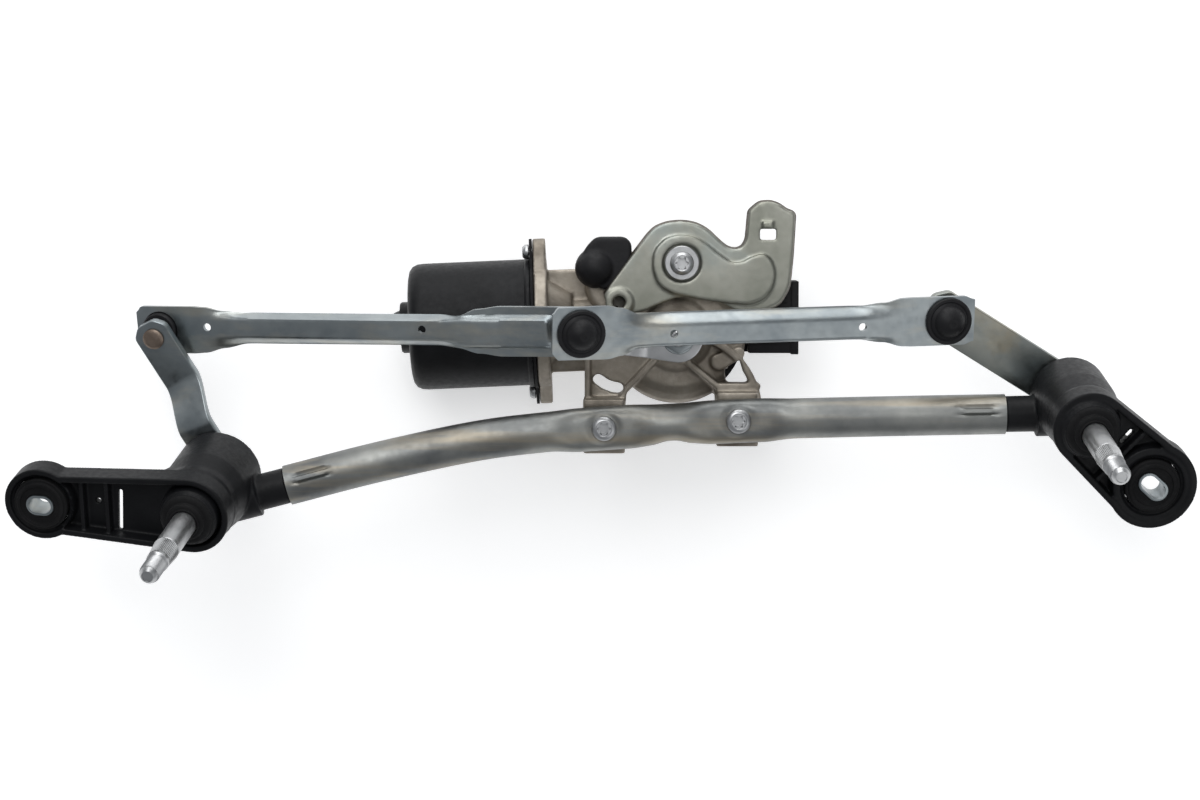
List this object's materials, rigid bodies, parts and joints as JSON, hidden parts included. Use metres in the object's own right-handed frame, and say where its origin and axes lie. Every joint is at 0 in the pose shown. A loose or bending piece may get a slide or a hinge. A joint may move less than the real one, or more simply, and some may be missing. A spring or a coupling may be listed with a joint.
{
  "type": "windshield wiper linkage",
  "caption": "Geared motor on a tube frame whose crank drives two links, levers and wiper spindles, with rubber-mounted eyes at both ends.",
  "frame": {"origin": "gear cover's outer face on the output shaft's axis", "axes": "+Z along the output shaft towards the crank, +X along the tube to the right pivot, +Y to the bracket's tab"},
  "size_m": [0.5829, 0.1752, 0.1766],
  "materials": {
    "cast_aluminium": "sand-textured die casting",
    "zinc_steel": "bluish zinc plate",
    "yellow_zinc": "zinc plate with a yellowish cast",
    "tube_steel": "galvanised tube with drawn streaks",
    "bright_steel": "bright ground or plated steel",
    "black_paint": "black coated casting or pressing",
    "black_plastic": "moulded plastic",
    "grey_plastic": "moulded plastic",
    "white_plastic": "acetal gear",
    "rubber": "moulded rubber",
    "bronze": "sintered bronze",
    "copper": "copper",
    "ferrite": "sintered ferrite or carbon",
    "bracket_steel": "stamped plated sheet",
    "rivet_steel": "turned rivet head, slightly tarnished"
  },
  "bodies": {
    "frame": {"frame_tube": "tube_steel", "left_pivot_housing": "black_paint", "left_lower_bush": "bronze", "left_upper_bush": "bronze", "left_spindle_seal": "rubber", "left_eye_sleeve": "zinc_steel", "left_eye_grommet": "rubber", "right_pivot_housing": "black_paint", "right_lower_bush": "bronze", "right_upper_bush": "bronze", "right_spindle_seal": "rubber", "right_eye_sleeve": "zinc_steel", "right_eye_grommet": "rubber", "idler_pin": "bright_steel", "gear_housing": "cast_aluminium", "gear_cover": "black_plastic", "connector_terminal_1": "copper", "connector_terminal_2": "copper", "connector_terminal_3": "copper", "output_bush": "bronze", "breather_cap": "black_plastic", "motor_gasket": "rubber", "motor_can": "black_paint", "rear_bearing": "bright_steel", "front_bearing": "bright_steel", "upper_magnet": "ferrite", "lower_magnet": "ferrite", "brush_plate": "grey_plastic", "upper_brush": "ferrite", "lower_brush": "ferrite", "upper_can_screw": "bright_steel", "lower_can_screw": "bright_steel", "motor_bracket": "bracket_steel", "bracket_washer": "bright_steel", "bracket_screw": "bright_steel", "left_tube_screw": "bright_steel", "right_tube_screw": "bright_steel"},
    "crank": {"output_shaft": "bright_steel", "output_gear": "white_plastic", "crank_arm": "bright_steel", "crank_nut": "zinc_steel", "crank_ball_pin": "bright_steel"},
    "idler": {"idler_gear": "white_plastic"},
    "armature": {"armature_shaft": "bright_steel", "commutator": "copper", "armature_core": "zinc_steel"},
    "left_link": {"left_ball_stud": "bright_steel", "left_link_bar": "zinc_steel", "left_link_crank_socket": "black_plastic", "left_link_end_socket": "black_plastic"},
    "right_link": {"right_ball_stud": "bright_steel", "right_link_bar": "zinc_steel", "right_link_crank_socket": "black_plastic", "right_link_end_socket": "black_plastic"},
    "left_rocker": {"left_spindle": "bright_steel", "left_lever": "zinc_steel", "left_lever_rivet": "rivet_steel"},
    "right_rocker": {"right_spindle": "bright_steel", "right_lever": "yellow_zinc", "right_lever_rivet": "rivet_steel"}
  },
  "joints": [
    {"name": "crank_turn", "type": "hinge", "parent": "frame", "child": "crank", "pos_m": [0, 0, 0.06], "axis": [0, 0, -1], "range_deg": [0, 180]},
    {"name": "left_spindle_turn", "type": "hinge", "parent": "frame", "child": "left_rocker", "pos_m": [-0.22832, -0.06671, 0.03447], "axis": [-0.1694, -0.3255, 0.9302], "range_deg": [-90, 0]},
    {"name": "right_spindle_turn", "type": "hinge", "parent": "frame", "child": "right_rocker", "pos_m": [0.19518, -0.02806, 0.03628], "axis": [0.0602, -0.2577, 0.9643], "range_deg": [-85, 0]},
    {"name": "left_link_swing", "type": "hinge", "parent": "crank", "child": "left_link", "pos_m": [-0.04782, 0.00418, 0.087], "axis": [-0.023, 0.0694, 0.9973], "range_deg": [0, 190]},
    {"name": "right_link_swing", "type": "hinge", "parent": "crank", "child": "right_link", "pos_m": [-0.04782, 0.00418, 0.103], "axis": [0.0195, -0.1037, 0.9944], "range_deg": [0, 200]},
    {"name": "idler_turn", "type": "hinge", "parent": "frame", "child": "idler", "pos_m": [-0.02876, 0.02556, 0.012], "axis": [0, 0, -1], "continuous": true},
    {"name": "armature_turn", "type": "hinge", "parent": "frame", "child": "armature", "pos_m": [0, 0.0088, 0.013], "axis": [-0.999, -0.0436, 0], "continuous": true}
  ],
  "couplings": [
    {"joint": "left_spindle_turn", "follows": "crank_turn", "ratio": -0.47527},
    {"joint": "right_spindle_turn", "follows": "crank_turn", "ratio": -0.43543},
    {"joint": "left_link_swing", "follows": "crank_turn", "ratio": 1.0368},
    {"joint": "right_link_swing", "follows": "crank_turn", "ratio": 1.0818},
    {"joint": "idler_turn", "follows": "crank_turn", "ratio": -4.1667},
    {"joint": "armature_turn", "follows": "crank_turn", "ratio": 50}
  ]
}
